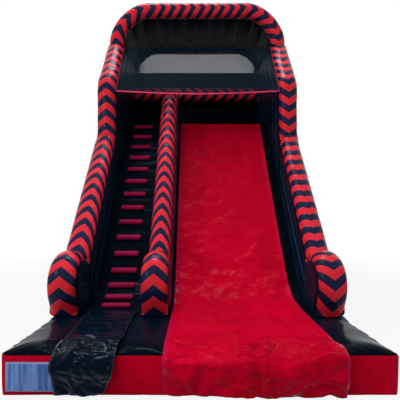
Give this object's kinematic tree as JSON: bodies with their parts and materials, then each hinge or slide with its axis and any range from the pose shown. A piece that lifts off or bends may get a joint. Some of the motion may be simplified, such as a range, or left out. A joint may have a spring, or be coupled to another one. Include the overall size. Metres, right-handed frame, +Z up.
{
  "type": "inflatable slide",
  "caption": "Tall inflatable slide with a stepped climbing lane beside a wide slide lane, scroll-ended side walls and an arched, netted hood over the top platform.",
  "frame": {"origin": "middle of the underside of the base mattress, on the ground", "axes": "+Z up, +X to the right as seen from the front, +Y to the rear; riders leave the slide towards -Y"},
  "size_m": [3.7106, 7.3638, 6.1498],
  "materials": {
    "red_vinyl": "glossy red PVC-coated fabric",
    "black_vinyl": "glossy black PVC-coated fabric, puckered at its seams",
    "chevron_vinyl": "red PVC-coated fabric printed with black chevrons",
    "step_vinyl": "satin crimson PVC-coated fabric over padding",
    "sheet_vinyl": "thin glossy red PVC sheet, creased",
    "net_cord": "knotless black nylon net",
    "red_binding": "red webbing tape",
    "pale_patch": "pale blue-grey vinyl, bare",
    "black_webbing": "black woven webbing",
    "zinc_steel": "zinc-plated steel"
  },
  "bodies": {
    "slide": {"base": "red_vinyl", "slide_bed": "red_vinyl", "left_slope_wall": "black_vinyl", "right_slope_wall": "black_vinyl", "left_tower_wall": "black_vinyl", "right_tower_wall": "black_vinyl", "divider_wall": "black_vinyl", "rear_wall": "black_vinyl", "platform_deck": "black_vinyl", "climbing_bed": "black_vinyl", "hood_roof": "black_vinyl", "climbing_mat": "black_vinyl", "inflation_sleeve": "black_vinyl", "left_scroll": "chevron_vinyl", "right_scroll": "chevron_vinyl", "divider_scroll": "chevron_vinyl", "front_arch": "chevron_vinyl", "rear_arch": "chevron_vinyl", "cross_tube": "chevron_vinyl", "step_01": "step_vinyl", "step_02": "step_vinyl", "step_03": "step_vinyl", "step_04": "step_vinyl", "step_05": "step_vinyl", "step_06": "step_vinyl", "step_07": "step_vinyl", "step_08": "step_vinyl", "step_09": "step_vinyl", "step_10": "step_vinyl", "step_11": "step_vinyl", "step_12": "step_vinyl", "step_13": "step_vinyl", "step_14": "step_vinyl", "step_15": "step_vinyl", "slide_sheet": "sheet_vinyl", "front_net": "net_cord", "window_net": "net_cord", "front_net_lower_binding": "red_binding", "front_net_upper_binding": "red_binding", "sign_patch": "pale_patch", "sleeve_strap": "black_webbing", "zip_left_track": "black_webbing", "zip_right_track": "black_webbing", "anchor_left_front_patch": "black_webbing", "anchor_left_middle_patch": "black_webbing", "anchor_left_rear_patch": "black_webbing", "anchor_right_front_patch": "black_webbing", "anchor_right_middle_patch": "black_webbing", "anchor_right_rear_patch": "black_webbing"},
    "ring_left_front": {"anchor_left_front_ring": "zinc_steel"},
    "ring_left_middle": {"anchor_left_middle_ring": "zinc_steel"},
    "ring_left_rear": {"anchor_left_rear_ring": "zinc_steel"},
    "ring_right_front": {"anchor_right_front_ring": "zinc_steel"},
    "ring_right_middle": {"anchor_right_middle_ring": "zinc_steel"},
    "ring_right_rear": {"anchor_right_rear_ring": "zinc_steel"},
    "zip_left_slider": {"zip_left_slider": "zinc_steel"},
    "zip_left_flap": {"zip_left_flap": "black_vinyl"},
    "zip_right_slider": {"zip_right_slider": "zinc_steel"},
    "zip_right_flap": {"zip_right_flap": "black_vinyl"}
  },
  "joints": [
    {"name": "ring_left_front_swing", "type": "hinge", "parent": "slide", "child": "ring_left_front", "pos_m": [-1.8453, -2.975, 0.15], "axis": [0, 1, 0], "range_deg": [-8, 170]},
    {"name": "ring_left_middle_swing", "type": "hinge", "parent": "slide", "child": "ring_left_middle", "pos_m": [-1.8453, -0.375, 0.15], "axis": [0, 1, 0], "range_deg": [-8, 170]},
    {"name": "ring_left_rear_swing", "type": "hinge", "parent": "slide", "child": "ring_left_rear", "pos_m": [-1.8453, 2.925, 0.15], "axis": [0, 1, 0], "range_deg": [-8, 170]},
    {"name": "ring_right_front_swing", "type": "hinge", "parent": "slide", "child": "ring_right_front", "pos_m": [1.8453, -2.975, 0.15], "axis": [0, -1, 0], "range_deg": [-8, 170]},
    {"name": "ring_right_middle_swing", "type": "hinge", "parent": "slide", "child": "ring_right_middle", "pos_m": [1.8453, -0.375, 0.15], "axis": [0, -1, 0], "range_deg": [-8, 170]},
    {"name": "ring_right_rear_swing", "type": "hinge", "parent": "slide", "child": "ring_right_rear", "pos_m": [1.8453, 2.925, 0.15], "axis": [0, -1, 0], "range_deg": [-8, 170]},
    {"name": "zip_left_slide", "type": "slide", "parent": "slide", "child": "zip_left_slider", "axis": [1, 0, 0], "range_m": [0, 0.528]},
    {"name": "zip_left_flap_lift", "type": "hinge", "parent": "slide", "child": "zip_left_flap", "pos_m": [-0.85, 3.3456, 0.8037], "axis": [1, 0, 0], "range_deg": [0, 115]},
    {"name": "zip_right_slide", "type": "slide", "parent": "slide", "child": "zip_right_slider", "axis": [1, 0, 0], "range_m": [0, 0.528]},
    {"name": "zip_right_flap_lift", "type": "hinge", "parent": "slide", "child": "zip_right_flap", "pos_m": [0.85, 3.3456, 0.8037], "axis": [1, 0, 0], "range_deg": [0, 115]}
  ]
}
